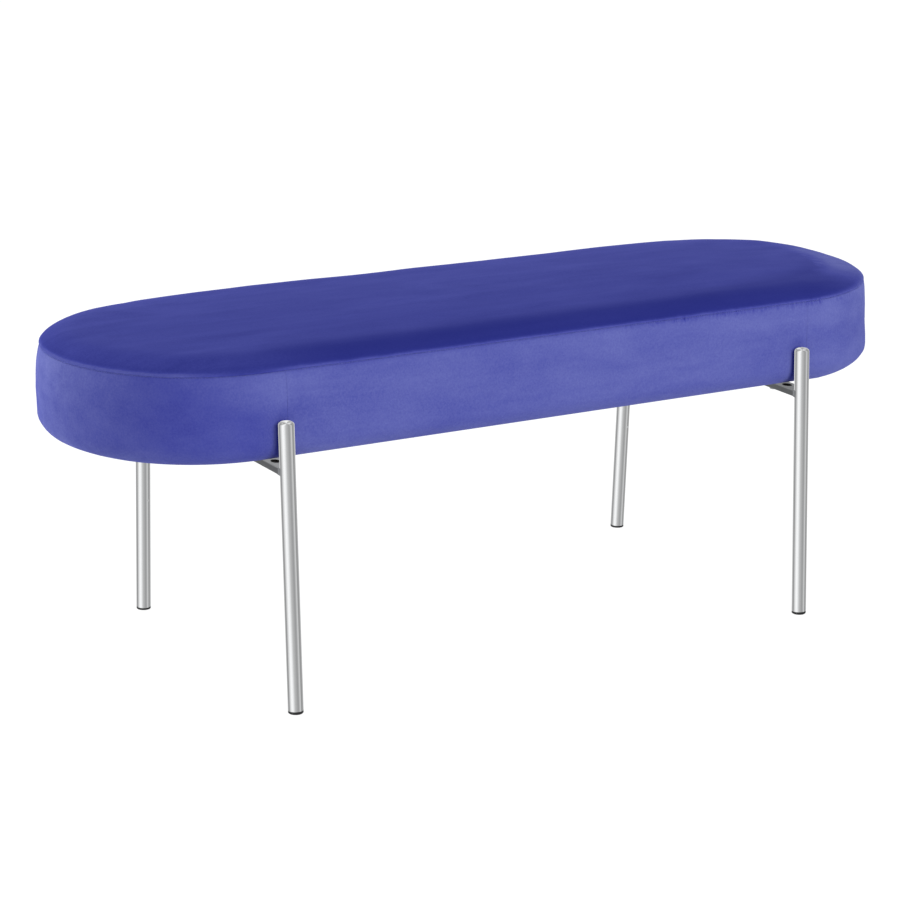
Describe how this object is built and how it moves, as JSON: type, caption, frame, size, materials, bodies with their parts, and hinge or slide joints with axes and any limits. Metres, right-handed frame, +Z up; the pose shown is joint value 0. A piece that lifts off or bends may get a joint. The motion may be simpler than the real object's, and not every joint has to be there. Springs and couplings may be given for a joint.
{
  "type": "upholstered bench",
  "caption": "Long backless bench: a crowned velvet cushion with round ends, carried by slim chromed tube legs that stand outside its sides.",
  "frame": {"origin": "on the floor, under the middle of the cushion", "axes": "+X along the length, +Y to the rear across the seat, +Z up"},
  "size_m": [1.218, 0.479, 0.45],
  "materials": {
    "velvet": "matte",
    "soft_foam": "matte",
    "firm_foam": "matte",
    "plywood": "satin",
    "black_cambric": "matte",
    "chrome": "polished",
    "black_plastic": "satin",
    "zinc_steel": "satin"
  },
  "bodies": {
    "root": {"top_panel": "velvet", "front_band": "velvet", "rear_band": "velvet", "left_end_band": "velvet", "right_end_band": "velvet", "foam_topper": "soft_foam", "foam_core": "firm_foam", "seat_board": "plywood", "dust_cover": "black_cambric", "left_cross_rail": "chrome", "left_front_leg": "chrome", "left_front_glide": "black_plastic", "left_rear_leg": "chrome", "left_rear_glide": "black_plastic", "left_bolt_front_outer": "zinc_steel", "left_washer_front_outer": "zinc_steel", "left_tee_nut_front_outer": "zinc_steel", "left_bolt_rear_outer": "zinc_steel", "left_washer_rear_outer": "zinc_steel", "left_tee_nut_rear_outer": "zinc_steel", "left_bolt_front_inner": "zinc_steel", "left_washer_front_inner": "zinc_steel", "left_tee_nut_front_inner": "zinc_steel", "left_bolt_rear_inner": "zinc_steel", "left_washer_rear_inner": "zinc_steel", "left_tee_nut_rear_inner": "zinc_steel", "right_cross_rail": "chrome", "right_front_leg": "chrome", "right_front_glide": "black_plastic", "right_rear_leg": "chrome", "right_rear_glide": "black_plastic", "right_bolt_front_outer": "zinc_steel", "right_washer_front_outer": "zinc_steel", "right_tee_nut_front_outer": "zinc_steel", "right_bolt_rear_outer": "zinc_steel", "right_washer_rear_outer": "zinc_steel", "right_tee_nut_rear_outer": "zinc_steel", "right_bolt_front_inner": "zinc_steel", "right_washer_front_inner": "zinc_steel", "right_tee_nut_front_inner": "zinc_steel", "right_bolt_rear_inner": "zinc_steel", "right_washer_rear_inner": "zinc_steel", "right_tee_nut_rear_inner": "zinc_steel"}
  },
  "joints": []
}
